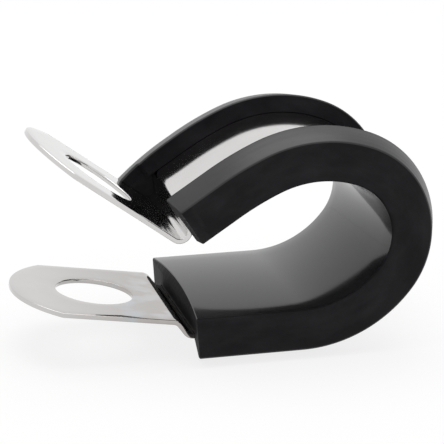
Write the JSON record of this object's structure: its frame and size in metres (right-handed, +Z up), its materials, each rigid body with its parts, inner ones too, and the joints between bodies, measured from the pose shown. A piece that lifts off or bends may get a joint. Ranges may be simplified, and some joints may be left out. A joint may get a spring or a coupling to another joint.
{
  "type": "p clip",
  "caption": "Rubber-lined P clip: a bent steel strip with two fixing holes and a rubber channel round its loop that holds a cable or hose.",
  "frame": {"origin": "centre of the lower fixing hole, on the top face of its tab", "axes": "+X from the fixing tabs to the loop, +Y along the cable that the loop holds, +Z up from the lower arm to the upper arm"},
  "size_m": [0.0341, 0.0168, 0.019],
  "materials": {
    "stainless_strip": "bright rolled stainless strip with faint grain",
    "black_rubber": "extruded black rubber with a satin skin"
  },
  "bodies": {
    "root": {"steel_strip": "stainless_strip", "rubber_liner": "black_rubber"}
  },
  "joints": []
}
